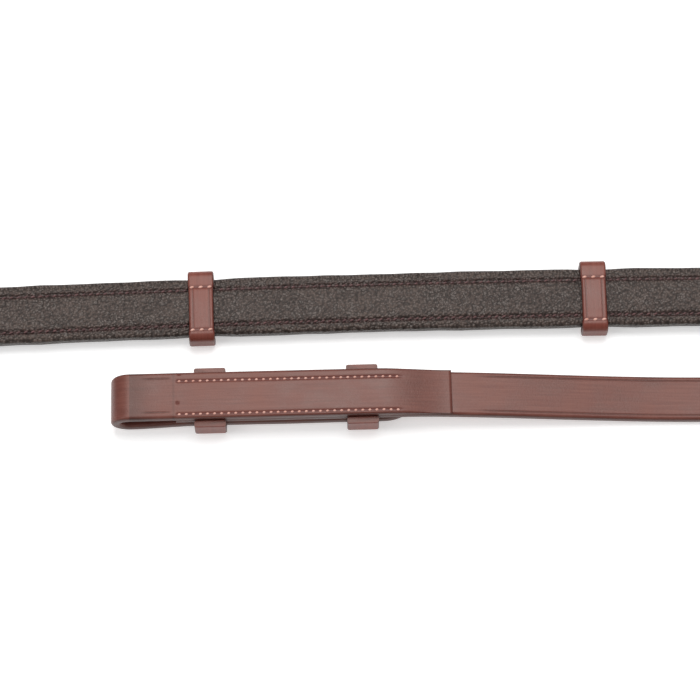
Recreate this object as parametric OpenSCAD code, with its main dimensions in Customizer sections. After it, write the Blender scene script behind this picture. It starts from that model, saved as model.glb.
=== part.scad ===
// A pair of English leather reins: two halves, each a smooth strap with a hook-stud
// billet at the bit end, a soft leather grip with sewn stops, and a buckle in the middle.
// Millimetres. The origin is the centre of bit loop A; +X runs along its lap, +Z is up.

/* [Strap] */
// Width of the smooth strap
strap_w = 16; // [14:0.5:20]
// Thickness of the smooth strap
strap_t = 3.5; // [3:0.1:4.2]
// Thickness of the strap where it is the core of the grip
core_t = 2.6; // [2:0.1:3]
// Thickness of the skived leather at the buckle end
skived_t = 2.4; // [2:0.1:2.8]
// Thickness of the plain strap end that goes through the buckle
point_t = 2.8; // [2.4:0.1:3.2]

/* [Lengths] */
// Bare strap on the table between the lap and the first turn of half A
bare_reach = 152; // [140:1:200]
// Length of the hand part from the grip to the buckle bar
hand_len = 200; // [200:1:215]
// Length of the plain end beyond the buckle bar
point_len = 70; // [60:1:72]
// Length of each stored run that lies flat
run_flat = 210; // [180:1:240]
// Radius at which the strap turns on its edge
turn_r = 20; // [18:0.5:24]

/* [Bit end] */
// Radius of the bit loop
bit_bore_r = 3.15; // [3:0.05:4]
// Length of the open bit loop, from its centre to the strap end
loop_len = 16; // [12:0.5:24]
// Length of the sewn lap
lap_len = 80; // [72:1:90]
// Width of a bit keeper along the strap
bit_keeper_w = 11.6; // [8:0.2:14]
// Wall of a keeper
keeper_wall = 2.2; // [1.6:0.1:2.6]

/* [Grip] */
// Length of the grip cover
grip_len = 692; // [680:1:700]
// Width of the grip
grip_w = 20.7; // [20.5:0.1:22]
// Wall of the cover above and below the core
cover_t = 1.2; // [0.8:0.1:1.6]
// Distance from one stop to the next
stop_pitch = 138.4; // [130:0.2:145]
// Width of a stop along the grip
stop_w = 9.2; // [8:0.2:12]
// Wall of a stop
stop_wall = 2.2; // [1.6:0.1:2.4]

/* [Buckle] */
// Radius of the buckle wire
wire_r = 1.6; // [1.4:0.05:1.8]
// Distance from the heel bar to the front bar
buckle_len = 18; // [17:0.5:21]
// Radius of the tongue
tongue_r = 1.15; // [1:0.05:1.3]
// Length of the runner and of the sewn keeper along the strap
runner_w = 10; // [8:0.5:11]

/* [Hidden] */
$fn = 48;
STOPS = 5;
HALVES = ["a", "b"];

LEATHER = "#7a3b30";
GRIP = "#3a302e";
STEEL = "#c8c8c8";

// Clearances
sewn_gap = 0.05;     // between layers that are sewn together
wrap_gap = 0.15;     // between a wrapped piece and what it holds
side_gap = 0.3;      // beside a strap in a keeper or stop
free_gap = 0.25;     // between leather and a metal bar, or a sliding loop
pivot_gap = 0.05;    // between the tongue and the heel bar

// Bit end, heights above the table
fold_r = bit_bore_r + strap_t;
tail_z = keeper_wall + 0.1;
lap_z = 2 * fold_r - 2 * strap_t;
lap_x0 = loop_len;
lap_x1 = loop_len + lap_len;
tail_rise_x = 20;
bit_keeper_x = [28.5, 81.5];
stud_x = 55;
stud_neck_r = 2;
stud_flange_r = 4.5;
stud_head_r = 4;
stud_flange_t = 0.9;

// Grip section
core_gap_h = core_t + 2 * wrap_gap;
core_gap_w = strap_w + 2 * side_gap;
grip_h = core_gap_h + 2 * cover_t;
stop_in_w = grip_w + 2 * side_gap;
stop_in_h = grip_h + 2 * wrap_gap;
stop_out_w = stop_in_w + 2 * stop_wall;
stop_out_h = stop_in_h + 2 * stop_wall;

// Buckle end, heights above the table before hand_lift is added
hand_lift = keeper_wall;
fold_in_r = wire_r + free_gap;
fold_mid_r = fold_in_r + skived_t / 2;
fold_out_r = fold_in_r + skived_t;
bar_z = strap_t + fold_in_r;
turned_z = strap_t + sewn_gap * 2 + skived_t / 2;
turned_len = 60;
point_z = turned_z + skived_t / 2 + sewn_gap * 2 + point_t / 2;
point_wrap_r = fold_out_r + wrap_gap + point_t / 2;
point_low_z = point_t / 2 + 0.2;
ramp_len = 14;
ramp_lead = 3;
hole_len = 9.6;
hole_w = 3.2;
hole_pitch = 19;
runner_x = -50;
buckle_keeper_x = -22;

// Routes. A leg is [length, turn, roll at its end]; a roll of 90 stands the strap on edge.
twist_len = 60;
u_turn = PI * turn_r;
function arc_len(r, turn) = r * abs(turn) * PI / 180;
first_turn_r = 19.3;
drift = -1.4;        // how far the strap turns aside after the lap
first_turn = 180.6;
grip_bend = 2.1;     // gentle bow of the grip on the flat
back_turn = 360 - drift - first_turn - grip_bend;
grip_after_turn = 90;
ROUTE_A = [[lap_len - 6, 0, 0], [20, drift, 0], [bare_reach, 0, 0], [twist_len, 0, 90],
    [arc_len(first_turn_r, first_turn), first_turn, 90], [twist_len, 0, 0], [62, 0, 0], [246, grip_bend, 0],
    [350, 0, 0], [twist_len, 0, 90], [arc_len(turn_r, back_turn), back_turn, 90], [55, 0, 0],
    [1000, 0, 0]];
START_A = [lap_x0, 0, 0, 0];
function route_len(route, count) = count == 0 ? 0 : route[count - 1][0] + route_len(route, count - 1);
grip_a0 = route_len(ROUTE_A, 5) + grip_after_turn;
grip_a1 = grip_a0 + grip_len;
len_a = grip_a1 + hand_len;

function arc_step(p, leg, d) = let (
        turn = leg[1] * d / leg[0],
        chord = turn == 0 ? d : 2 * (leg[0] / (leg[1] * PI / 180)) * sin(turn / 2),
        mid = p[2] + turn / 2)
    [p[0] + chord * cos(mid), p[1] + chord * sin(mid), p[2] + turn,
     p[3] + (leg[2] - p[3]) * smooth(d / leg[0])];
function smooth(t) = let (c = min(1, max(0, t))) c * c * (3 - 2 * c);
function mix(a, b, t) = a + (b - a) * t;
// Place, heading and roll at distance s along a route
function walk(route, p, s, i = 0) =
    (s <= route[i][0] || i == len(route) - 1) ? arc_step(p, route[i], s)
    : walk(route, arc_step(p, route[i], route[i][0]), s - route[i][0], i + 1);

BAR = walk(ROUTE_A, START_A, len_a);
bar_x = BAR[0];
bar_y = BAR[1];
START_B = [bar_x - point_len, bar_y, 0, 0];
first_flat = 138 + point_len;
grip_b0 = point_len + hand_len;
grip_b1 = grip_b0 + grip_len;
bare_len = grip_a0;
len_b = grip_b1 + bare_len;
ROUTE_B = [[first_flat, 0, 0], [twist_len, 0, -90], [u_turn, -180, -90], [twist_len, 0, 0],
    [run_flat, 0, 0], [twist_len, 0, 90], [u_turn, 180, 90], [twist_len, 0, 0],
    [run_flat, 0, 0], [twist_len, 0, -90], [u_turn, -180, -90], [twist_len, 0, 0],
    [1000, 0, 0]];
END_B = walk(ROUTE_B, START_B, len_b);

// A half is [route, start, length, grip start, grip end]
HALF = [[ROUTE_A, START_A, len_a, grip_a0, grip_a1], [ROUTE_B, START_B, len_b, grip_b0, grip_b1]];
function half_index(h) = h == "a" ? 0 : 1;

// How much of a grip there is at s, from 0 to 1, easing over reach beyond its ends
function in_grip(hf, s, reach) =
    smooth((s - hf[3] + reach) / reach) * (1 - smooth((s - hf[4]) / reach));

// The lap holds the strap up; it comes down to the table over slope_len
slope_len = 101;
function lap_lift(d) = lap_z * (1 - smooth((d - lap_len) / slope_len));
// The keepers hold the buckle end up. u is the distance past the heel bar
function buckle_lift(u) = hand_lift * smooth((u + 112) / 22) * (1 - smooth((u - 20) / 40));

// Rise of half B over the folded end of half A, and down under the front bar
ramp_top = bar_z + point_wrap_r;
ramp_angle = 33;
function soft_max(a, b, k) = b + k * ln(1 + exp(min(40, (a - b) / k)));
function point_height(u) =
    let (foot_u = point_wrap_r * sin(ramp_angle), foot_z = bar_z + point_wrap_r * cos(ramp_angle))
    u < 0 ? mix(point_z, ramp_top, smooth((u + ramp_len + ramp_lead) / ramp_len))
    : u < foot_u ? bar_z + sqrt(point_wrap_r * point_wrap_r - u * u)
    : soft_max(foot_z - tan(ramp_angle) * (u - foot_u), point_low_z, 0.6);

function strap_thickness(k, s) = let (
        hf = HALF[k],
        grip = mix(strap_t, core_t, in_grip(hf, s, 15)))
    k == 0 ? mix(grip, skived_t, smooth((s - hf[2] + 24) / 20))
    : mix(point_t, grip, smooth((s - point_len - 30) / 20));

// Height of the strap's middle: half its envelope, plus whatever lifts it
function strap_height(k, s, roll) = let (
        hf = HALF[k],
        g = in_grip(hf, s, 40),
        flat = mix(strap_thickness(k, s) / 2, stop_out_h / 2, g),
        edge = mix(strap_w / 2, stop_out_w / 2, g),
        rest = flat * abs(cos(roll)) + edge * abs(sin(roll)))
    k == 0 ? rest + lap_lift(s) + buckle_lift(s - hf[2])
        + (bar_z - fold_mid_r - skived_t / 2) * smooth((s - hf[2] + 24) / 24)
    : let (u = s - point_len)
      (u < 30 ? point_height(u) : rest) + lap_lift(hf[2] - s) + buckle_lift(u);

// A frame is [centre, across, up, width, thickness]. across and up span the section
function frame_at(c, heading, pitch, roll, w, t) = let (
        side = [-sin(heading), cos(heading), 0],
        up = [-sin(pitch) * cos(heading), -sin(pitch) * sin(heading), cos(pitch)])
    [c, cos(roll) * side + sin(roll) * up, cos(roll) * up - sin(roll) * side, w, t];
function route_frame(k, s, w, t) = let (
        hf = HALF[k],
        p = walk(hf[0], hf[1], s),
        d = 0.4,
        before = walk(hf[0], hf[1], s - d),
        after = walk(hf[0], hf[1], s + d),
        z0 = strap_height(k, s - d, before[3]),
        z1 = strap_height(k, s + d, after[3]),
        pitch = atan((z1 - z0) / (2 * d)))
    frame_at([p[0], p[1], strap_height(k, s, p[3])], p[2], pitch, p[3], w, t);

// Stations along a half: close together where it turns, twists or climbs. The strap, its
// cover and its stops share them, so their surfaces stay parallel
function leg_starts(route) = [for (i = 0, s = 0; i < len(route); s = s + route[i][0], i = i + 1) s];
function roll_before(route, i) = i == 0 ? 0 : route[i - 1][2];
function leg_at(route, s, i = 0) =
    (s < route[i][0] || i == len(route) - 1) ? i : leg_at(route, s - route[i][0], i + 1);
function leg_step(route, i) =
    abs(route[i][1]) > 90 ? turn_r * 0.26 : route[i][2] != roll_before(route, i) ? 7.5 : 26;
function stop_middle(k, i) = let (
        hf = HALF[k],
        margin = (grip_len - (STOPS - 1) * stop_pitch) / 2,
        d = margin + (i - 1) * stop_pitch)
    k == 0 ? hf[3] + d : hf[4] - d;
// A fine zone is [from, to, step]
function fine_zones(k) = let (end = HALF[k][2]) k == 0
    ? [[lap_len - 6, lap_len + slope_len + 4, 9], [end - 30, end, 5]]
    : [[point_len - 20, point_len + 26, 1.6], [end - lap_len - slope_len - 4, end - lap_len + 6, 9]];
function step_at(k, s) = min(concat([leg_step(HALF[k][0], leg_at(HALF[k][0], s))],
    [for (z = fine_zones(k)) if (s >= z[0] && s < z[1]) z[2]]));
function sorted(v) = len(v) < 2 ? v : let (p = v[floor(len(v) / 2)], same = 0.05) concat(
    sorted([for (x = v) if (x < p - same) x]), [p], sorted([for (x = v) if (x > p + same) x]));
function stations(k) = let (
        hf = HALF[k],
        cuts = sorted([for (s = concat([0, hf[2], hf[3], hf[4]], leg_starts(hf[0]),
            [for (z = fine_zones(k)) each [z[0], z[1]]],
            [for (i = [1:STOPS], d = [-1, 1]) stop_middle(k, i) + d * stop_w / 2]))
            if (s <= hf[2]) s]))
    concat([for (i = [0:len(cuts) - 2]) let (
            span = cuts[i + 1] - cuts[i],
            n = ceil(span / step_at(k, cuts[i] + span / 2)))
        for (j = [0:n - 1]) cuts[i] + span * j / n], [hf[2]]);
STATIONS = [stations(0), stations(1)];
function frames_between(k, s0, s1) =
    [for (s = STATIONS[k]) if (s > s0 - 0.06 && s < s1 + 0.06) route_frame(k, s, 0, 0)];

// Section outlines, as fractions: a flat strap with eased edges, and a rounder band
function eased(w, t, c) = [
    [w / 2 - c, -t / 2], [w / 2, -t / 2 + c], [w / 2, t / 2 - c], [w / 2 - c, t / 2],
    [c - w / 2, t / 2], [-w / 2, t / 2 - c], [-w / 2, c - t / 2], [c - w / 2, -t / 2]];
function on_frame(f, pts) = [for (q = pts) f[0] + q[0] * f[1] + q[1] * f[2]];
function ring_faces(n, rings, first, flip) = [
    for (r = [0:rings - 2], i = [0:n - 1], half = [0, 1]) let (
            a = first + r * n + i,
            b = first + r * n + (i + 1) % n,
            tri = half == 0 ? [a, a + n, b] : [b, a + n, b + n])
        flip ? [tri[2], tri[1], tri[0]] : tri];

// A solid bar swept through frames
module sweep(frames, ease) {
    n = 8;
    rings = len(frames);
    polyhedron(
        [for (f = frames) each on_frame(f, eased(f[3], f[4], ease))],
        concat(ring_faces(n, rings, 0, false), [[for (i = [0:n - 1]) i]],
            [[for (i = [n - 1:-1:0]) (rings - 1) * n + i]]));
}

// A tube swept through frames, from an inner section to an outer one
module tube(frames, inner, outer, ease_in, ease_out) {
    n = 8;
    rings = len(frames);
    last = (rings - 1) * n;
    hole = rings * n;
    ends = [for (i = [0:n - 1]) let (j = (i + 1) % n) each [
        [i, j, hole + i], [j, hole + j, hole + i],
        [last + j, last + i, hole + last + i], [last + j, hole + last + i, hole + last + j]]];
    polyhedron(
        concat([for (f = frames) each on_frame(f, eased(outer[0], outer[1], ease_out))],
            [for (f = frames) each on_frame(f, eased(inner[0], inner[1], ease_in))]),
        concat(ring_faces(n, rings, 0, false), ring_faces(n, rings, hole, true), ends));
}

// Heights are worked out above the table, which is one fold radius below the loop's centre
module above_table() { translate([0, 0, -fold_r]) children(); }

// Puts a bit end, drawn with its loop at x = 0, where its half ends
module at_bit_end(h) {
    if (h == "a") children();
    else translate([END_B[0], END_B[1], 0]) rotate([0, 0, END_B[2] + 180])
        translate([-loop_len, 0, 0]) children();
}

module at_buckle() { translate([bar_x, bar_y, hand_lift]) children(); }

// Extrudes an outline drawn across the strap (Y, Z) along X, centred
module along_strap(length) {
    translate([-length / 2, 0, 0]) rotate([90, 0, 90]) linear_extrude(length) children();
}

// Extrudes an outline drawn in (X, Z) across the strap, centred
module across_strap(width) {
    translate([0, width / 2, 0]) rotate([90, 0, 0]) linear_extrude(width) children();
}

module rounded_box_2d(w, z0, z1, r) {
    translate([-w / 2 + r, z0]) square([w - 2 * r, z1 - z0]);
    translate([-w / 2, z0 + r]) square([w, z1 - z0 - 2 * r]);
    for (x = [-w / 2 + r, w / 2 - r], z = [z0 + r, z1 - r]) translate([x, z]) circle(r);
}

module oval_hole(length, width, height) {
    for (x = [-1, 1] * (length - width) / 2)
        translate([x, 0, -height / 2]) cylinder(r = width / 2, h = height);
    cube([length - width, width, height], center = true);
}

// Holes of the hook stud in the lapped strap: the neck's bore and the flange's pocket
module stud_seat() {
    translate([stud_x, 0, lap_z - 1]) cylinder(r = stud_neck_r + pivot_gap, h = strap_t + 2);
    translate([stud_x, 0, lap_z + strap_t - stud_flange_t - 0.1])
        cylinder(r = stud_flange_r + wrap_gap, h = 2);
}

// Strap of half A, folded round the heel bar at its hand end
module strap_a() {
    flat = [for (s = STATIONS[0]) if (s < len_a) route_frame(0, s, strap_w, strap_thickness(0, s))];
    z_bar = bar_z + hand_lift;
    bend = [for (a = [0:15:180]) frame_at(
        [bar_x + fold_mid_r * sin(a), bar_y, z_bar - fold_mid_r * cos(a)], 0, a, 0, strap_w, skived_t)];
    top_z = bar_z + fold_mid_r;
    back = [for (d = [2:2:ramp_len]) let (
            z = mix(top_z, turned_z, smooth(d / ramp_len)),
            slope = atan((mix(top_z, turned_z, smooth((d + 0.2) / ramp_len)) - z) / 0.2))
        frame_at([bar_x - d, bar_y, z + hand_lift], 0, 180 - slope, 0, strap_w, skived_t)];
    end = [for (d = [40, turned_len]) frame_at(
        [bar_x - d, bar_y, turned_z + hand_lift], 0, 180, 0, strap_w, skived_t)];
    color(LEATHER) above_table() difference() {
        sweep(concat(flat, bend, back, end), 0.5);
        stud_seat();
        translate([bar_x - 1, bar_y, z_bar]) cube([14, 2 * (tongue_w / 2 + 0.4), 14], center = true);
    }
}

// Strap of half B, with a row of oval holes in its plain end
module strap_b() {
    cross_u = 7.8;
    tip_w = strap_w - 6;
    color(LEATHER) above_table() difference() {
        sweep([for (s = concat([0, 4, 8], [for (s = STATIONS[1]) if (s > 10) s]))
            route_frame(1, s, mix(tip_w, strap_w, sqrt(min(1, s / 8))), strap_thickness(1, s))], 0.5);
        translate([bar_x + cross_u, bar_y, point_height(cross_u) + hand_lift])
            rotate([0, ramp_angle, 0]) oval_hole(hole_len, hole_w, 12);
        for (i = [-3, -2, 2, 3]) translate([bar_x + cross_u + i * hole_pitch, bar_y, point_z])
            oval_hole(hole_len, hole_w, 30);
        at_bit_end("b") stud_seat();
    }
}

// Hook-stud billet: sewn on top of the strap, round the bit, and back under the strap
module billet(h) {
    top_z = lap_z + strap_t + sewn_gap;
    tip_r = strap_w / 2;
    color(LEATHER) above_table() at_bit_end(h) difference() {
        intersection() {
            across_strap(strap_w) {
                difference() {
                    translate([0, fold_r]) circle(fold_r);
                    translate([0, fold_r]) circle(bit_bore_r);
                    translate([0, -1]) square([2 * fold_r, 2 * fold_r + 2]);
                }
                polygon([[0, 2 * fold_r - strap_t], [lap_x0 - 4, 2 * fold_r - strap_t],
                    [lap_x0 - 1, top_z], [lap_x1, top_z], [lap_x1, top_z + 0.8],
                    [lap_x1 - 8, 2 * fold_r], [0, 2 * fold_r]]);
                polygon([[0, 0], [tail_rise_x, tail_z], [lap_x1, tail_z], [lap_x1, tail_z + strap_t],
                    [tail_rise_x, tail_z + strap_t], [0, strap_t]]);
            }
            translate([0, 0, -1]) linear_extrude(2 * fold_r + 2) {
                translate([-fold_r - 1, -strap_w / 2])
                    square([lap_x1 + fold_r + 1 - tip_r * 0.5, strap_w]);
                translate([lap_x1 - tip_r * 0.5, 0]) intersection() {
                    circle(tip_r);
                    translate([0, -tip_r]) square([tip_r * 0.5, 2 * tip_r]);
                }
            }
        }
        translate([stud_x, 0, tail_z - 1]) cylinder(r = stud_neck_r + 0.3, h = strap_t + 2);
        translate([stud_x - 5, 0, tail_z + strap_t / 2]) cube([10, 1.2, strap_t + 2], center = true);
    }
}

// Keeper sewn under the lap; the billet's tail slides through it
module bit_keeper(h, i) {
    in_w = strap_w + 2 * sewn_gap;
    out_w = in_w + 2 * keeper_wall;
    top_z = lap_z + strap_t - 0.1;
    color(LEATHER) above_table() at_bit_end(h) translate([bit_keeper_x[i - 1], 0, 0])
        along_strap(bit_keeper_w) {
            difference() {
                rounded_box_2d(out_w, 0, top_z, 1.2);
                translate([-in_w / 2, keeper_wall]) square([in_w, 2 * top_z]);
            }
        }
}

// Hook stud: flange in the lap, neck through strap and tail, head under the tail
module hook_stud(h) {
    flange_z = lap_z + strap_t - stud_flange_t - sewn_gap;
    color(STEEL) above_table() at_bit_end(h) translate([stud_x, 0, 0]) rotate_extrude() polygon([
        [0, 0.3], [stud_head_r - 1, 0.3], [stud_head_r, 0.9], [stud_head_r, 1.4],
        [stud_head_r - 1.2, tail_z - 0.1], [stud_neck_r, tail_z - 0.1], [stud_neck_r, flange_z],
        [stud_flange_r, flange_z], [stud_flange_r, flange_z + stud_flange_t],
        [0, flange_z + stud_flange_t]]);
}

// Soft leather cover wrapped round the strap
module grip_cover(h) {
    k = half_index(h);
    color(GRIP) above_table() tube(frames_between(k, HALF[k][3], HALF[k][4]),
        [core_gap_w, core_gap_h], [grip_w, grip_h], 0.2, 1.5);
}

// Leather stop sewn round the grip. Stop 1 is the one nearest the bit
module rein_stop(h, i) {
    k = half_index(h);
    middle = stop_middle(k, i);
    color(LEATHER) above_table() tube(frames_between(k, middle - stop_w / 2, middle + stop_w / 2),
        [stop_in_w, stop_in_h], [stop_out_w, stop_out_h], 1.4, 1.6);
}

// Loop round both layers of A and the plain end of B
module hand_loop(x) {
    in_w = strap_w + 2 * side_gap;
    z1 = point_z + point_t / 2 + free_gap;
    at_buckle() translate([x, 0, 0]) along_strap(runner_w) difference() {
        rounded_box_2d(in_w + 2 * (keeper_wall - 0.2), -keeper_wall + 0.05, z1 + keeper_wall - 0.2, 1.6);
        translate([-in_w / 2, -free_gap + 0.05]) square([in_w, z1 + free_gap - 0.05]);
    }
}

module buckle_keeper() { color(LEATHER) above_table() hand_loop(buckle_keeper_x); }
module runner_loop() { color(LEATHER) above_table() hand_loop(runner_x); }

// Rectangular wire frame with round corners
module buckle_frame() {
    corner_r = 3;
    half_y = strap_w / 2 + 0.6 + wire_r;
    color(STEEL) above_table() at_buckle() translate([0, 0, bar_z]) {
        for (x = [0, buckle_len]) translate([x, corner_r - half_y, 0]) rotate([-90, 0, 0])
            cylinder(r = wire_r, h = 2 * (half_y - corner_r));
        for (y = [-half_y, half_y]) translate([corner_r, y, 0]) rotate([0, 90, 0])
            cylinder(r = wire_r, h = buckle_len - 2 * corner_r);
        for (c = [[corner_r, corner_r - half_y, 180], [buckle_len - corner_r, corner_r - half_y, 270],
                [buckle_len - corner_r, half_y - corner_r, 0], [corner_r, half_y - corner_r, 90]])
            translate([c[0], c[1], 0]) rotate([0, 0, c[2]]) rotate_extrude(angle = 90)
                translate([corner_r, 0]) circle(wire_r);
    }
}

// Tongue: an eye round the heel bar and a round bar whose tip rests on the front bar
tongue_w = 3.4;
tongue_rise = wire_r + tongue_r + 0.05;
tongue_angle = atan(tongue_rise / buckle_len);
module buckle_tongue() {
    eye_r = wire_r + pivot_gap;
    reach = buckle_len / cos(tongue_angle) + 2.4;
    color(STEEL) above_table() at_buckle() translate([0, 0, bar_z]) {
        rotate([0, -tongue_angle, 0]) difference() {
            union() {
                translate([0, tongue_w / 2, 0]) rotate([90, 0, 0]) cylinder(r = eye_r + 1.3, h = tongue_w);
                rotate([0, 90, 0]) cylinder(r = tongue_r, h = reach);
                translate([reach, 0, 0]) sphere(tongue_r);
            }
            translate([0, 5, 0]) rotate([90, 0, 0]) cylinder(r = eye_r, h = 10);
        }
    }
}

strap_a();
strap_b();
for (h = HALVES) {
    billet(h);
    hook_stud(h);
    grip_cover(h);
}
for (h = HALVES, i = [1:2]) bit_keeper(h, i);
for (h = HALVES, i = [1:STOPS]) rein_stop(h, i);
buckle_frame();
buckle_tongue();
buckle_keeper();
runner_loop();
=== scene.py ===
"""A pair of buckled leather reins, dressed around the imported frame.

Each half is a smooth chestnut strap with a sewn hook-stud billet at the bit end and a soft
pebbled grip with sewn stops. Everything soft is worked out as numpy grids in strap
coordinates (distance along, across, and out of the strap) and carried onto the route that
the half lies in. Lengths are millimetres until a mesh is made, and metres in Blender.
"""

from __future__ import annotations

import logging
import math
import sys
from dataclasses import dataclass, field
from enum import Enum

import bpy
import numpy as np
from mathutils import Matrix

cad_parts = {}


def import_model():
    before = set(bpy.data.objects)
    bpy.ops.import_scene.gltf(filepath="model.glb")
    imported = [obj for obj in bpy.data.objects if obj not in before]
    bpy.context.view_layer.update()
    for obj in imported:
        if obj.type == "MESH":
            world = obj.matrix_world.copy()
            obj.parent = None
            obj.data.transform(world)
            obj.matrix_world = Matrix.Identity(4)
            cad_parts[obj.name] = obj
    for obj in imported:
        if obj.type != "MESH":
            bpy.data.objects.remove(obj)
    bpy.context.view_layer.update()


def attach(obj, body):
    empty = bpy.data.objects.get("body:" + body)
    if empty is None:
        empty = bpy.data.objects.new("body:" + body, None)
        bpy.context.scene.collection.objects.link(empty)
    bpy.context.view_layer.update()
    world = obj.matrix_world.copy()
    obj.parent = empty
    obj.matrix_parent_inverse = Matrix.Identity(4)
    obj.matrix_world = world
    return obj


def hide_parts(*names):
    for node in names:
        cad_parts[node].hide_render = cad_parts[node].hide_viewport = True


LOG = logging.getLogger("reins")
MM = 0.001
BODY = "reins"
Array = np.ndarray


# ------------------------------------------------------------------ sizes


@dataclass(frozen=True)
class Sizes:
    """Sizes of the real pieces in millimetres, the same as the solids that they stand for."""

    strap_w: float = 16.0
    strap_t: float = 3.5
    core_t: float = 2.6
    skived_t: float = 2.4
    point_t: float = 2.8
    fold_r: float = 6.65
    loop_len: float = 16.0
    lap_len: float = 80.0
    lap_z: float = 6.3
    tail_z: float = 2.3
    slope_len: float = 101.0
    wall: float = 2.2
    bit_keeper_w: float = 11.6
    bit_keeper_x: tuple[float, float] = (28.5, 81.5)
    grip_w: float = 20.7
    grip_h: float = 5.3
    grip_len: float = 692.0
    stops: int = 5
    stop_pitch: float = 138.4
    stop_w: float = 9.2
    stop_out_w: float = 25.7
    stop_out_h: float = 10.0
    worn_w: float = 16.9
    hand_len: float = 200.0
    point_len: float = 70.0
    bar_z: float = 5.35
    fold_mid_r: float = 3.05
    point_z: float = 7.5
    ramp_len: float = 14.0
    ramp_angle: float = 33.0
    turned_z: float = 4.8
    turned_len: float = 60.0
    runner_w: float = 10.0
    hole_u: float = 7.8
    hole_pitch: float = 19.0


S = Sizes()


def smooth(t: Array) -> Array:
    """Smoothstep: 0 below 0, 1 above 1, and 3t^2 - 2t^3 between."""
    c = np.clip(t, 0.0, 1.0)
    return c * c * (3.0 - 2.0 * c)


def mix(a: Array, b: Array, t: Array) -> Array:
    """Straight blend from a at t = 0 to b at t = 1."""
    return a + (b - a) * t


def bell(x: Array, width: float) -> Array:
    """Gaussian bump of height 1 and the given width, centred on x = 0."""
    return np.exp(-((x / width) ** 2))


# ------------------------------------------------------------------ routes


@dataclass(frozen=True)
class Frames:
    """Middle line of a strap and the two directions that span its section, all (N, 3) in mm."""

    centre: Array
    across: Array
    up: Array
    along: Array

    def join(self, other: "Frames") -> "Frames":
        """Returns these frames followed by the other's."""
        return Frames(*(np.concatenate((getattr(self, k), getattr(other, k)))
                        for k in ("centre", "across", "up", "along")))


class Side(Enum):
    """The two halves of the reins."""

    A = "a"
    B = "b"


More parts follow.
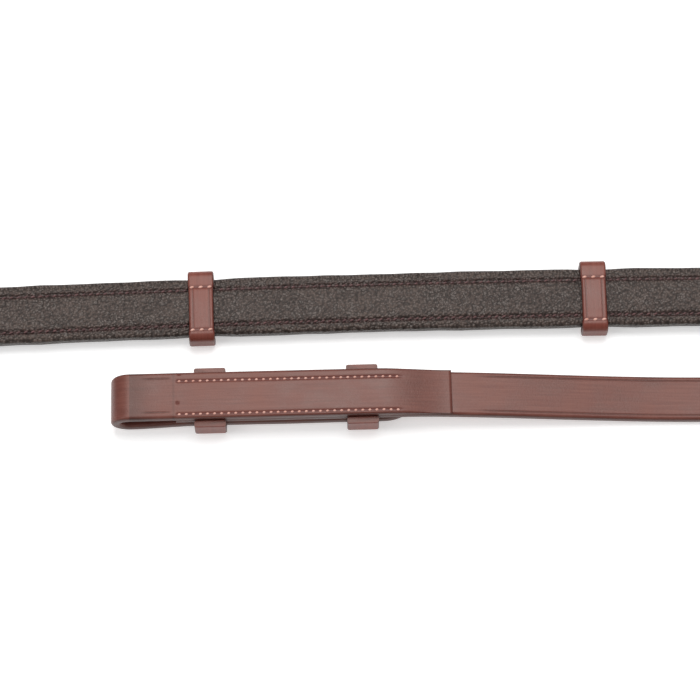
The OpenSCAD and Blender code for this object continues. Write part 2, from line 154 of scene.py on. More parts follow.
@dataclass
class Half:
    """One half: the legs that its strap is laid in, and everything measured along it.

    A leg is (length, turn in degrees, roll in degrees at its end); a roll of 90 stands the
    strap on its edge, which is how a strap goes round a tight turn.
    """

    side: Side
    legs: list[tuple[float, float, float]]
    start: tuple[float, float, float]
    grip: tuple[float, float]
    length: float

    def plan(self, s: Array) -> tuple[Array, Array, Array, Array]:
        """Walks the legs: each is a circular arc, or a line where its turn is nought.

        Args:
            s: distances from the start of the half.

        Returns:
            x, y, heading and roll at each distance, in mm and degrees.
        """
        out = [np.zeros_like(s) for _ in range(4)]
        x, y, heading = self.start
        roll, begin = 0.0, 0.0
        for i, (length, turn, roll_end) in enumerate(self.legs):
            last = i == len(self.legs) - 1
            here = (s >= begin if i else np.full(s.shape, True)) & ((s < begin + length) | last)
            d = s - begin
            part = np.radians(turn) * d / length
            chord = d * np.sinc(part / 2.0 / np.pi)
            mid = np.radians(heading) + part / 2.0
            values = (x + chord * np.cos(mid), y + chord * np.sin(mid), heading + np.degrees(part),
                      mix(roll, roll_end, smooth(d / length)))
            for target, value in zip(out, values):
                target[here] = value[here]
            whole = math.radians(turn)
            chord_end = length * float(np.sinc(whole / 2.0 / math.pi))
            x += chord_end * math.cos(math.radians(heading) + whole / 2.0)
            y += chord_end * math.sin(math.radians(heading) + whole / 2.0)
            heading, roll, begin = heading + turn, roll_end, begin + length
        return out[0], out[1], out[2], out[3]

    def in_grip(self, s: Array, reach: float) -> Array:
        """How much of a grip there is at s, easing from 0 to 1 over reach beyond its ends."""
        return smooth((s - self.grip[0] + reach) / reach) * (1.0 - smooth((s - self.grip[1]) / reach))

    def thickness(self, s: Array) -> Array:
        """Thickness of the leather: full, thinner in the grip, and skived at the buckle end."""
        grip = mix(S.strap_t, S.core_t, self.in_grip(s, 15.0))
        if self.side is Side.A:
            return mix(grip, S.skived_t, smooth((s - self.length + 24.0) / 20.0))
        return mix(S.point_t, grip, smooth((s - S.point_len - 30.0) / 20.0))

    def height(self, s: Array, roll: Array) -> Array:
        """Height of the strap's middle above the table: half its envelope plus what lifts it."""
        g = self.in_grip(s, 40.0)
        flat = mix(self.thickness(s) / 2.0, S.stop_out_h / 2.0, g)
        edge = mix(S.strap_w / 2.0, S.stop_out_w / 2.0, g)
        r = np.radians(roll)
        rest = flat * np.abs(np.cos(r)) + edge * np.abs(np.sin(r))
        if self.side is Side.A:
            u = s - self.length
            return rest + lap_lift(s) + buckle_lift(u) + (
                S.bar_z - S.fold_mid_r - S.skived_t / 2.0) * smooth((u + 24.0) / 24.0)
        u = s - S.point_len
        return np.where(u < 30.0, point_height(u), rest) + lap_lift(self.length - s) + buckle_lift(u)

    def frames(self, s: Array) -> Frames:
        """Section frames at s: across is level before the roll, up leans with the climb."""
        step = 0.4
        x, y, heading, roll = self.plan(s)
        z = self.height(s, roll)
        before = self.height(s - step, self.plan(s - step)[3])
        after = self.height(s + step, self.plan(s + step)[3])
        pitch = np.arctan((after - before) / (2.0 * step))
        h, r = np.radians(heading), np.radians(roll)
        zero = np.zeros_like(h)
        side = np.stack((-np.sin(h), np.cos(h), zero), 1)
        lean = np.stack((-np.sin(pitch) * np.cos(h), -np.sin(pitch) * np.sin(h), np.cos(pitch)), 1)
        c, k = np.cos(r)[:, None], np.sin(r)[:, None]
        return Frames(np.stack((x, y, z - S.fold_r), 1), c * side + k * lean, c * lean - k * side, s)

    def place(self, s: Array, a: Array, n: Array) -> Array:
        """Carries strap coordinates (along, across, out) of any one shape onto the route."""
        f = self.frames(np.ravel(s))
        points = f.centre + np.ravel(a)[:, None] * f.across + np.ravel(n)[:, None] * f.up
        return points.reshape(*np.shape(s), 3)

    def stop_middles(self) -> list[float]:
        """Distances of the stops along the half, the one nearest the bit first."""
        margin = (S.grip_len - (S.stops - 1) * S.stop_pitch) / 2.0
        steps = [margin + i * S.stop_pitch for i in range(S.stops)]
        if self.side is Side.A:
            return [self.grip[0] + d for d in steps]
        return [self.grip[1] - d for d in steps]


def lap_lift(d: Array) -> Array:
    """Height that the lapped bit end gives the strap, easing down to the table."""
    return S.lap_z * (1.0 - smooth((d - S.lap_len) / S.slope_len))


def buckle_lift(u: Array) -> Array:
    """Height that the keepers give the buckle end, u past the heel bar."""
    return S.wall * smooth((u + 112.0) / 22.0) * (1.0 - smooth((u - 20.0) / 40.0))


def point_height(u: Array) -> Array:
    """Rise of the plain end over the folded end, round its top, and down under the front bar."""
    wrap = S.fold_mid_r + S.skived_t / 2.0 + 0.15 + S.point_t / 2.0
    angle = math.radians(S.ramp_angle)
    foot_u, foot_z = wrap * math.sin(angle), S.bar_z + wrap * math.cos(angle)
    low, soft = S.point_t / 2.0 + 0.2, 0.6
    rise = mix(S.point_z, S.bar_z + wrap, smooth((u + S.ramp_len + 3.0) / S.ramp_len))
    over = S.bar_z + np.sqrt(np.clip(wrap * wrap - u * u, 0.0, None))
    line = foot_z - math.tan(angle) * (u - foot_u)
    down = low + soft * np.log1p(np.exp(np.clip((line - low) / soft, -60.0, 40.0)))
    return np.where(u < 0.0, rise, np.where(u < foot_u, over, down))


def make_halves() -> tuple[Half, Half]:
    """Lays out both halves, the second starting from the buckle of the first.

    Returns:
        Half A, whose distances start at its bit loop, and half B, whose start at its tip.
    """
    drift, first_turn, grip_bend, turn_r, first_r, twist = -1.4, 180.6, 2.1, 20.0, 19.3, 60.0
    back_turn = 360.0 - drift - first_turn - grip_bend
    u_turn = math.pi * turn_r
    legs_a = [(S.lap_len - 6.0, 0.0, 0.0), (20.0, drift, 0.0), (152.0, 0.0, 0.0), (twist, 0.0, 90.0),
              (first_r * math.radians(first_turn), first_turn, 90.0), (twist, 0.0, 0.0),
              (62.0, 0.0, 0.0), (246.0, grip_bend, 0.0), (350.0, 0.0, 0.0), (twist, 0.0, 90.0),
              (turn_r * math.radians(back_turn), back_turn, 90.0), (55.0, 0.0, 0.0),
              (1000.0, 0.0, 0.0)]
    grip0 = sum(leg[0] for leg in legs_a[:5]) + 90.0
    grip1 = grip0 + S.grip_len
    half_a = Half(Side.A, legs_a, (S.loop_len, 0.0, 0.0), (grip0, grip1), grip1 + S.hand_len)
    bar_x, bar_y, _, _ = (float(v[0]) for v in half_a.plan(np.array([half_a.length])))
    flat, first_flat = 210.0, 138.0 + S.point_len
    legs_b = [(first_flat, 0.0, 0.0), (twist, 0.0, -90.0), (u_turn, -180.0, -90.0), (twist, 0.0, 0.0),
              (flat, 0.0, 0.0), (twist, 0.0, 90.0), (u_turn, 180.0, 90.0), (twist, 0.0, 0.0),
              (flat, 0.0, 0.0), (twist, 0.0, -90.0), (u_turn, -180.0, -90.0), (twist, 0.0, 0.0),
              (1000.0, 0.0, 0.0)]
    first = S.point_len + S.hand_len
    half_b = Half(Side.B, legs_b, (bar_x - S.point_len, bar_y, 0.0), (first, first + S.grip_len),
                  first + S.grip_len + grip0)
    return half_a, half_b


@dataclass(frozen=True)
class Spot:
    """A place on the table with a heading, where pieces drawn in their own frame are put."""

    x: float
    y: float
    heading: float
    lift: float = 0.0

    def put(self, points: Array) -> Array:
        """Turns local (..., 3) points about Z and moves them to this spot."""
        h = math.radians(self.heading)
        c, k = math.cos(h), math.sin(h)
        x, y, z = points[..., 0], points[..., 1], points[..., 2]
        return np.stack((self.x + c * x - k * y, self.y + k * x + c * y, z + self.lift - S.fold_r), -1)


# ------------------------------------------------------------------ meshes


def grid_faces(rows: int, cols: int, wrap_rows: bool, wrap_cols: bool) -> Array:
    """Quads of a grid, each (r, c), (r, c+1), (r+1, c+1), (r+1, c), wrapping where asked."""
    r = np.arange(rows if wrap_rows else rows - 1)[:, None]
    c = np.arange(cols if wrap_cols else cols - 1)[None, :]
    r1, c1 = (r + 1) % rows, (c + 1) % cols
    quad = (r * cols + c, r * cols + c1, r1 * cols + c1, r1 * cols + c)
    return np.stack([np.broadcast_to(q, np.broadcast(r, c).shape) for q in quad], -1).reshape(-1, 4)


def signed_volume(points: Array, quads: Array) -> float:
    """Volume of a closed quad mesh by the divergence theorem; negative if it is inside out."""
    p = points[quads]
    return float(np.einsum("ij,ij->i", p[:, 0], np.cross(p[:, 1], p[:, 2])).sum()
                 + np.einsum("ij,ij->i", p[:, 0], np.cross(p[:, 2], p[:, 3])).sum())


@dataclass
class Piece:
    """A mesh in the making: a grid in mm with UVs in mm and named shading values."""

    name: str
    points: Array
    uv: Array | None = None
    values: dict[str, Array] = field(default_factory=dict)
    wrap_rows: bool = False
    wrap_cols: bool = True

    def build(self, material: bpy.types.Material, smooth_shading: bool = True) -> bpy.types.Object:
        """Turns the (rows, cols, 3) grid into a closed mesh object with its material.

        Open ends are closed by one face each, and a grid that came out inside out is turned.

        Args:
            material: the finish.
            smooth_shading: whether its faces are shaded smooth.

        Returns:
            The new object, at the origin.
        """
        rows, cols, _ = self.points.shape
        flat = self.points.reshape(-1, 3)
        quads = grid_faces(rows, cols, self.wrap_rows, self.wrap_cols)
        centred = flat - flat.mean(0)
        flip = signed_volume(centred, quads) < 0.0
        faces = [tuple(q) for q in (quads[:, ::-1] if flip else quads).tolist()]
        if not self.wrap_rows:
            first, last = list(range(cols)), list(range((rows - 1) * cols, rows * cols))
            faces += [tuple(first if flip else first[::-1]), tuple(last[::-1] if flip else last)]
        mesh = bpy.data.meshes.new(self.name)
        mesh.from_pydata((flat * MM).tolist(), [], faces)
        mesh.polygons.foreach_set("use_smooth", np.full(len(faces), smooth_shading))
        if not self.wrap_rows:
            mesh.polygons[len(faces) - 1].use_smooth = False
            mesh.polygons[len(faces) - 2].use_smooth = False
        for key, value in self.values.items():
            layer = mesh.attributes.new(key, "FLOAT", "POINT")
            layer.data.foreach_set("value", np.ravel(np.broadcast_to(value, (rows, cols))).astype("f4"))
        if self.uv is not None:
            corner = np.empty(len(mesh.loops), dtype=np.int32)
            mesh.loops.foreach_get("vertex_index", corner)
            layer = mesh.uv_layers.new(name="strap")
            layer.data.foreach_set("uv", self.uv.reshape(-1, 2)[corner].astype("f4").ravel())
        mesh.materials.append(material)
        obj = bpy.data.objects.new(self.name, mesh)
        bpy.context.collection.objects.link(obj)
        return obj


@dataclass(frozen=True)
class Outline:
    """Outline of a strap's section: flat faces joined by round edges.

    A point is (sx * (w/2 - r) + cx * r, sz * (t/2 - r) + cz * r), so the edges keep their
    radius r whatever the width w and the thickness t are.
    """

    face_points: int = 40
    edge_points: int = 5
    radius: float = 1.15

    def units(self) -> tuple[Array, Array, Array, Array]:
        """Returns sx, cx, sz and cz of each point, from the top's left edge round to the right."""
        p = np.linspace(-1.0, 1.0, self.face_points)
        q = np.linspace(1.0, -1.0, max(6, self.face_points // 4))
        e = np.linspace(0.0, math.pi / 2.0, self.edge_points + 2)[1:-1]
        one, se, ce = np.ones(self.edge_points), np.sin(e), np.cos(e)
        sx = np.concatenate((p, one, one, q, -one, -one))
        cx = np.concatenate((0 * p, se, ce, 0 * q, -se, -ce))
        sz = np.concatenate((1 + 0 * p, one, -one, -1 + 0 * q, -one, one))
        cz = np.concatenate((1 + 0 * p, ce, -se, -1 + 0 * q, -ce, se))
        return sx, cx, sz, cz

    def at(self, w: Array, t: Array) -> tuple[Array, Array]:
        """Section points for widths w and thicknesses t, each (N,), as two (N, M) arrays."""
        sx, cx, sz, cz = self.units()
        r = np.minimum(self.radius, 0.42 * t)[:, None]
        return sx * (w[:, None] / 2.0 - r) + cx * r, sz * (t[:, None] / 2.0 - r) + cz * r


def girth(a: Array, n: Array) -> Array:
    """Distance round each section from the middle of its top face, for the pattern's V."""
    d = np.hypot(np.diff(a, axis=1, prepend=a[:, :1]), np.diff(n, axis=1, prepend=n[:, :1]))
    total = np.cumsum(d, axis=1)
    return total + a[:, :1]


def strap_piece(name: str, f: Frames, w: Array, t: Array, crease: Array, inset: float = 1.7,
                channel: Array | None = None, row: float = 5.6,
                row_shift: float = 0.0) -> Piece:
    """A leather strap: its outline carried along frames, with pressed lines on its top face.

    Depth is taken off the top where crease lines run (a narrow bell at inset from each edge)
    and where a stitch channel runs (a wider bell at +-row).

    Args:
        name: the piece's name.
        f: the N frames that it follows.
        w: its width at each frame.
        t: its thickness at each frame.
        crease: how deep the creases are at each frame, from 0 to 1.
        inset: distance of a crease from the edge.
        channel: how deep the stitch channels are at each frame, from 0 to 1.
        row: half the distance between the stitch rows.
        row_shift: how far across the middle of the rows lies.

    Returns:
        The piece, with "tone" as how dark its creases and edges are and "seam" as how far down a channel.
    """
    outline = Outline(face_points=64)
    a, n = outline.at(w, t)
    top = (n > 0.3 * t[:, None]).astype(float)
    line = bell(np.abs(a) - (w[:, None] / 2.0 - inset), 0.22) * crease[:, None] * top
    tone, seam, depth = 0.6 * line, 0.0 * line, 0.16 * line
    if channel is not None:
        seam = bell(np.abs(a - row_shift) - row, 0.8) ** 2 * channel[:, None] * top
        depth = depth + 0.26 * seam
    edge = smooth((np.abs(a) - (w[:, None] / 2.0 - 0.75)) / 0.9)
    tone = np.clip(tone + 0.8 * edge, 0.0, 1.0)
    points = (f.centre[:, None, :] + a[..., None] * f.across[:, None, :]
              + (n - depth)[..., None] * f.up[:, None, :])
    uv = np.stack((np.broadcast_to(f.along[:, None], a.shape), girth(a, n)), -1)
    return Piece(name, points, uv, {"tone": tone, "seam": seam})


def band_piece(name: str, path: Array, out: Array, width: float, wall: float, closed: bool,
               rows: tuple[float, float] | None = None) -> Piece:
    """A leather band bent round a path in the (a, n) plane, as a loop or an open U.

    Its section is a flat outline turned so that its width lies along the strap. At each path
    point the section stands on the inner wall and grows outwards along out.

    Args:
        name: the piece's name.
        path: (K, 2) points of the inner wall.
        out: (K, 2) outward unit normals.
        width: size along the strap.
        wall: thickness.
        closed: whether the path is a loop.
        rows: where across its top the band is sewn, with creases between; None leaves it plain.

    Returns:
        The piece in local (l, a, n) coordinates, to be put on a strap or at a spot.
    """
    outline = Outline(face_points=26, edge_points=4, radius=0.8)
    k, inner = len(path), np.zeros((len(path), 1))
    w, seam = np.full(k, width), inner
    if rows:
        reach, off = (rows[0] - rows[1]) / 2.0, np.abs(path[:, 0] - sum(rows) / 2.0)
        flat = (out[:, 1] > 0.9) * smooth((reach - off) / 0.8)
        seam = (bell(off - reach, 0.6) * (out[:, 1] > 0.5))[:, None]
        w = w * (1.0 - 0.05 * smooth((reach + 1.0 - off) / 1.5))
        inner = flat[:, None]
    length, height = outline.at(w, np.full(k, wall))
    line = bell(np.abs(length) - (w[:, None] / 2.0 - 1.5), 0.22) * (height > 0) * inner
    seam = seam * (height > 0)
    height = height + wall / 2.0 - 0.12 * line - 0.22 * seam
    edge = smooth((np.abs(length) - (w[:, None] / 2.0 - 0.6)) / 0.7)
    spot = path[:, None, :] + height[..., None] * out[:, None, :]
    around = np.concatenate(([0.0], np.cumsum(np.hypot(*np.diff(path, axis=0).T))))
    uv = np.stack((np.broadcast_to(around[:, None], length.shape), girth(length, height)), -1)
    points = np.concatenate((length[..., None], spot), -1)
    return Piece(name, points, uv, {"tone": np.clip(0.6 * line + 0.75 * edge, 0, 1), "seam": seam}, closed)


def rounded_loop(w: float, z0: float, z1: float, r: float, per_corner: int = 9,
                 per_side: int = 12) -> tuple[Array, Array]:
    """A rounded rectangle, anticlockwise: corners are quarter circles, sides are straight.

    Args:
        w: inner width, centred.
        z0: lowest height.
        z1: highest height.
        r: corner radius.
        per_corner: points on each corner.
        per_side: points between corners.

    Returns:
        The points and their outward normals, each (K, 2).
    """
    points, normals = [], []
    for i, (sx, sz) in enumerate(((1, -1), (1, 1), (-1, 1), (-1, -1))):
        a = np.linspace(-90.0 + 90.0 * i, 90.0 * i, per_corner)
        n = np.stack((np.cos(np.radians(a)), np.sin(np.radians(a))), 1)
        c = np.array((sx * (w / 2.0 - r), (z1 - r) if sz > 0 else (z0 + r)))
        points.append(c + r * n)
        normals.append(n)
    out_p, out_n = [], []
    for i in range(4):
        nxt = points[(i + 1) % 4][0]
        t = np.linspace(0.0, 1.0, per_side + 2)[1:-1, None]
        out_p += [points[i], mix(points[i][-1], nxt, t)]
        out_n += [normals[i], np.repeat(normals[i][-1:], per_side, 0)]
    return np.concatenate(out_p), np.concatenate(out_n)


# ------------------------------------------------------------------ materials


def hex_linear(code: str, alpha: float = 1.0) -> tuple[float, float, float, float]:
    """Turns an sRGB hex colour into linear light."""
    v = np.array([int(code[i:i + 2], 16) for i in (1, 3, 5)]) / 255.0
    lin = np.where(v <= 0.04045, v / 12.92, ((v + 0.055) / 1.055) ** 2.4)
    return (float(lin[0]), float(lin[1]), float(lin[2]), alpha)


def add_node(tree: bpy.types.NodeTree, kind: str, settings: dict | None = None,
             inputs: dict | None = None) -> bpy.types.Node:
    """Adds a shader node, sets its properties, and fills or links its inputs.

    Args:
        tree: the material's node tree.
        kind: the node's type.
        settings: properties by name.
        inputs: values or output sockets, by input name or number.

    Returns:
        The node.
    """
    node = tree.nodes.new(kind)
    for key, value in (settings or {}).items():
        setattr(node, key, value)
    for key, value in (inputs or {}).items():
        if isinstance(value, bpy.types.NodeSocket):
            tree.links.new(value, node.inputs[key])
        else:
            node.inputs[key].default_value = value
    return node


def per_mm(size: float) -> float:
    """Pattern scale on Object coordinates, in metres, for features of this many millimetres."""
    return 1.0 / (size * MM)


@dataclass(frozen=True)
class LeatherFinish:
    """A tanned leather: its colours, the size of its grain, and how it was finished."""

    name: str
    base: str
    light: str
    dark: str
    grain_mm: float
    grain_depth_mm: float
    roughness: tuple[float, float]
    coat: float
    # Colour that "tone" darkens towards: real creases and edges, and painted shade where "tone" carries
    # it.
    worked_and_shade: str = "#74423a"
    seam: str = "#561d17"
    cloud_mm: float = 14.0
    pebbled: bool = False

    def make(self) -> bpy.types.Material:
        """Builds the material: clouds and streaks of dye, dark edges and creases, painted shade from
        "tone" and in the pebbles' valleys, and its grain.
        """
        mat = bpy.data.materials.new(self.name)
        mat.use_nodes = True
        t = mat.node_tree
        bsdf = t.nodes["Principled BSDF"]
        where = add_node(t, "ShaderNodeTexCoord").outputs["Object"]
        uv = add_node(t, "ShaderNodeUVMap", {"uv_map": "strap"}).outputs["UV"]
        clouds = add_node(t, "ShaderNodeTexNoise", None, {
            "Vector": where, "Scale": per_mm(self.cloud_mm), "Detail": 4.0, "Roughness": 0.6})
        stretch = add_node(t, "ShaderNodeMapping", None, {"Vector": uv, "Scale": (0.05, 1.3, 1.0)})
        streaks = add_node(t, "ShaderNodeTexNoise", None, {
            "Vector": stretch.outputs["Vector"], "Scale": 1.0, "Detail": 5.0, "Roughness": 0.65})
        blend = add_node(t, "ShaderNodeMix", {"data_type": "FLOAT"}, {
            0: 0.45, 2: clouds.outputs["Fac"], 3: streaks.outputs["Fac"]})
        ramp = add_node(t, "ShaderNodeValToRGB", None, {"Fac": blend.outputs[0]})
        stops = ramp.color_ramp.elements
        stops[0].position, stops[0].color = 0.34, hex_linear(self.dark)
        stops[1].position, stops[1].color = 0.66, hex_linear(self.light)
        middle = stops.new(0.5)
        middle.color = hex_linear(self.base)
        tone = add_node(t, "ShaderNodeAttribute", {"attribute_name": "tone"}).outputs["Fac"]
        # Darkens by "tone": real creases and edges, plus painted shade under the grip's edges and towards
        # the billet's fold.
        worked_and_shade = add_node(t, "ShaderNodeMix", {"data_type": "RGBA", "blend_type": "MULTIPLY"}, {
            0: tone, 6: ramp.outputs["Color"], 7: hex_linear(self.worked_and_shade)})
        seam = add_node(t, "ShaderNodeAttribute", {"attribute_name": "seam"}).outputs["Fac"]
        sewn = add_node(t, "ShaderNodeMix", {"data_type": "RGBA", "clamp_factor": True}, {
            0: seam, 6: worked_and_shade.outputs[2], 7: hex_linear(self.seam)})
        colour = sewn.outputs[2]
        grain = self._grain(t, where)
        if self.pebbled:
            # Painted shade: the valleys between the pebbles are darkened towards #4a3f3c.
            pebble_valley_shade = add_node(t, "ShaderNodeMapRange", None, {
                "Value": grain, "From Min": 0.3, "From Max": 0.75, "To Min": 0.8, "To Max": 0.0})
            deep = add_node(t, "ShaderNodeMix", {"data_type": "RGBA", "blend_type": "MULTIPLY"}, {
                0: pebble_valley_shade.outputs["Result"], 6: colour, 7: hex_linear("#4a3f3c")})
            colour = deep.outputs[2]
        t.links.new(colour, bsdf.inputs["Base Color"])
        rough = add_node(t, "ShaderNodeMapRange", None, {
            "Value": clouds.outputs["Fac"], "From Min": 0.3, "From Max": 0.7,
            "To Min": self.roughness[0], "To Max": self.roughness[1]})
        t.links.new(rough.outputs["Result"], bsdf.inputs["Roughness"])
        bump = add_node(t, "ShaderNodeBump", None, {
            "Height": grain, "Strength": 1.0, "Distance": self.grain_depth_mm * MM})
        t.links.new(bump.outputs["Normal"], bsdf.inputs["Normal"])
        bsdf.inputs["IOR"].default_value = 1.47
        bsdf.inputs["Specular Tint"].default_value = hex_linear("#f6e8e0")
        bsdf.inputs["Coat Weight"].default_value = self.coat
        bsdf.inputs["Coat Roughness"].default_value = 0.38
        return mat

    def _grain(self, t: bpy.types.NodeTree, where: bpy.types.NodeSocket) -> bpy.types.NodeSocket:
        """Height of the grain: rounded cells where it is pebbled, else pores and fine creases."""
        if self.pebbled:
            warp = add_node(t, "ShaderNodeTexNoise", None, {
                "Vector": where, "Scale": per_mm(2.2), "Detail": 2.0})
            shift = add_node(t, "ShaderNodeVectorMath", {"operation": "MULTIPLY_ADD"}, {
                0: warp.outputs["Color"], 1: (0.4 * MM,) * 3, 2: where})
            cells = add_node(t, "ShaderNodeTexVoronoi", {"feature": "SMOOTH_F1"}, {
                "Vector": shift.outputs["Vector"], "Scale": per_mm(self.grain_mm), "Smoothness": 0.2})
            return add_node(t, "ShaderNodeMath", {"operation": "SUBTRACT"}, {
                0: 1.0, 1: cells.outputs["Distance"]}).outputs[0]
        pores = add_node(t, "ShaderNodeTexVoronoi", {"feature": "F1"}, {
            "Vector": where, "Scale": per_mm(self.grain_mm), "Randomness": 1.0})
        fine = add_node(t, "ShaderNodeTexNoise", None, {
            "Vector": where, "Scale": per_mm(self.grain_mm * 1.8), "Detail": 6.0, "Roughness": 0.7})
        return add_node(t, "ShaderNodeMath", {"operation": "MULTIPLY_ADD"}, {
            0: pores.outputs["Distance"], 1: 0.35, 2: fine.outputs["Fac"]}).outputs[0]


@dataclass(frozen=True)
class ThreadFinish:
    """Waxed linen or polyester saddler's thread, of one colour with a little variation."""

    name: str
    colour: str
    shade: str

    def make(self) -> bpy.types.Material:
        """Builds the material: a twist of fine plies and a soft waxy gloss."""
        mat = bpy.data.materials.new(self.name)
        mat.use_nodes = True
        t = mat.node_tree
        bsdf = t.nodes["Principled BSDF"]
        where = add_node(t, "ShaderNodeTexCoord").outputs["Object"]
        noise = add_node(t, "ShaderNodeTexNoise", None, {
            "Vector": where, "Scale": per_mm(1.4), "Detail": 2.0})
        ramp = add_node(t, "ShaderNodeValToRGB", None, {"Fac": noise.outputs["Fac"]})
        ends = ramp.color_ramp.elements
        ends[0].position, ends[0].color = 0.35, hex_linear(self.shade)
        ends[1].position, ends[1].color = 0.65, hex_linear(self.colour)
        t.links.new(ramp.outputs["Color"], bsdf.inputs["Base Color"])
        plies = add_node(t, "ShaderNodeTexWave", {"bands_direction": "DIAGONAL"}, {
            "Vector": where, "Scale": per_mm(0.6) / 6.0, "Distortion": 1.0})
        bump = add_node(t, "ShaderNodeBump", None, {
            "Height": plies.outputs["Fac"], "Strength": 0.6, "Distance": 0.05 * MM})
        t.links.new(bump.outputs["Normal"], bsdf.inputs["Normal"])
        bsdf.inputs["Roughness"].default_value = 0.55
        bsdf.inputs["Sheen Weight"].default_value = 0.25
        return mat


@dataclass(frozen=True)
class SteelFinish:
    """Polished stainless steel, drawn and buffed, as harness buckles and studs are."""

    name: str = "stainless_polished"
    colour: str = "#c9c7c3"

    def make(self) -> bpy.types.Material:
        """Builds the material: mirror-like metal with buffing haze that varies a little."""
        mat = bpy.data.materials.new(self.name)
        mat.use_nodes = True
        t = mat.node_tree
        bsdf = t.nodes["Principled BSDF"]
        where = add_node(t, "ShaderNodeTexCoord").outputs["Object"]
        haze = add_node(t, "ShaderNodeTexNoise", None, {
            "Vector": where, "Scale": per_mm(3.0), "Detail": 4.0})
        rough = add_node(t, "ShaderNodeMapRange", None, {
            "Value": haze.outputs["Fac"], "From Min": 0.3, "From Max": 0.7, "To Min": 0.14, "To Max": 0.3})
        t.links.new(rough.outputs["Result"], bsdf.inputs["Roughness"])
        scratch = add_node(t, "ShaderNodeTexNoise", None, {
            "Vector": where, "Scale": per_mm(0.4), "Detail": 3.0})
        bump = add_node(t, "ShaderNodeBump", None, {
            "Height": scratch.outputs["Fac"], "Strength": 0.25, "Distance": 0.02 * MM})
        t.links.new(bump.outputs["Normal"], bsdf.inputs["Normal"])
        bsdf.inputs["Base Color"].default_value = hex_linear(self.colour)
        bsdf.inputs["Metallic"].default_value = 1.0
        return mat


@dataclass
class Finishes:
    """Every material of the reins, made once."""

    bridle: bpy.types.Material = field(default_factory=lambda: LeatherFinish(
        # Veg-tanned bridle leather, drum-dyed chestnut and waxed: fine pores, satin sheen
        "bridle_leather_chestnut", "#67372e", "#76463b", "#572b23", 0.5, 0.06, (0.36, 0.52), 0.14).make())
    loop: bpy.types.Material = field(default_factory=lambda: LeatherFinish(
        # The same butt, split thinner, wetted and rubbed to shape: redder and smoother
        "loop_leather_chestnut", "#6d3328", "#7b4034", "#5c281f", 0.45, 0.05, (0.34, 0.48), 0.14).make())
    grip: bpy.types.Material = field(default_factory=lambda: LeatherFinish(
        # Soft chrome-tanned leather, tumbled so that its grain stands up in pebbles
        "grip_leather_pebbled", "#463a35", "#54463f", "#362c28", 1.0, 0.42, (0.3, 0.42), 0.1,
        # Its darkening colour here paints only the shade under the grip's rounded edges.
        worked_and_shade="#4a3a38", seam="#3a2222", pebbled=True).make())
    pale_thread: bpy.types.Material = field(default_factory=lambda: ThreadFinish(
        "waxed_thread_salmon", "#dfae9f", "#cf9583").make())
    dark_thread: bpy.types.Material = field(default_factory=lambda: ThreadFinish(
        "waxed_thread_burgundy", "#644241", "#4c2f2f").make())
    steel: bpy.types.Material = field(default_factory=lambda: SteelFinish().make())


# ------------------------------------------------------------------ stitching


@dataclass(frozen=True)
class Stitch:
    """One lock stitch as it shows: a short slanted float whose ends dive into their holes."""

    length: float
    radius: float
    slant: float
    dive: float
    sides: int = 6
    rings: int = 5

    def shape(self) -> Array:
        """A capsule on (rings, sides): its radius swells as a half sine, its middle is highest."""
        t = np.linspace(-1.0, 1.0, self.rings)[:, None]
        angle = np.linspace(0.0, 2.0 * math.pi, self.sides, endpoint=False)[None, :]
        r = self.radius * np.sqrt(np.clip(1.0 - np.abs(t) ** 3, 0.02, None))
        l = t * self.length / 2.0 + 0.0 * angle
        a = r * np.cos(angle)
        n = r * np.sin(angle) - self.dive * t * t
        k = math.radians(self.slant)
        return np.stack((l * math.cos(k) - a * math.sin(k), l * math.sin(k) + a * math.cos(k), n), -1)

    def sew(self, name: str, spots: Array, put, material: bpy.types.Material,
            mirror: Array | None = None) -> bpy.types.Object:
        """Copies the stitch to every (along, across, out) spot as one mesh.

        Args:
            name: the piece's name.
            spots: (N, 3) middles in local coordinates.
            put: function that carries (..., 3) local points to the table.
            material: the thread.
            mirror: (N,) of +1 or -1, the way that each stitch slants.

        Returns:
            The mesh object.
        """
        base = self.shape()
        rows, cols, _ = base.shape
        way = np.ones(len(spots)) if mirror is None else mirror
        local = np.broadcast_to(base, (len(spots), rows, cols, 3)).copy()
        local[..., 1] *= way[:, None, None]
        world = put(local + spots[:, None, None, :])
        quads = grid_faces(rows, cols, False, True)
        flat = base.reshape(-1, 3)
        if signed_volume(flat, quads) < 0:
            quads = quads[:, ::-1]
        caps = np.array([[0, i, i + 1] for i in range(1, cols - 1)])
        caps = np.concatenate((caps[:, ::-1], caps + (rows - 1) * cols))
        if flat[0:1, 2].size and signed_volume(flat, grid_faces(rows, cols, False, True)) < 0:
            caps = caps[:, ::-1]
        offset = (np.arange(len(spots)) * rows * cols)[:, None, None]
        turned = way < 0
        four = quads[None] + offset
        three = caps[None] + offset
        four[turned] = four[turned][..., ::-1]
        three[turned] = three[turned][..., ::-1]
        mesh = bpy.data.meshes.new(name)
        mesh.from_pydata((world.reshape(-1, 3) * MM).tolist(), [],
                         four.reshape(-1, 4).tolist() + three.reshape(-1, 3).tolist())
        mesh.polygons.foreach_set("use_smooth", np.full(len(mesh.polygons), True))
        mesh.materials.append(material)
        obj = bpy.data.objects.new(name, mesh)
        bpy.context.collection.objects.link(obj)
        return obj


def stitch_spots(along: Array, rows: tuple[float, ...], out: float) -> Array:
    """Every pairing of distances along with row places across, all at one height out."""
    s, a = np.meshgrid(along, np.array(rows), indexing="ij")
    return np.stack((s.ravel(), a.ravel(), np.full(s.size, out)), 1)


# ------------------------------------------------------------------ sub-assemblies


def settle(obj: bpy.types.Object, slot: str, *nodes: str, body: str = BODY) -> None:
    """Rides a piece on its body and hides the solids that it stands for."""
    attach(obj, body)
    if nodes:
        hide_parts(*nodes)
    LOG.info("%s on %s, %d faces%s", obj.name, body, len(obj.data.polygons),
             f", for {', '.join(nodes)}" if nodes else "")


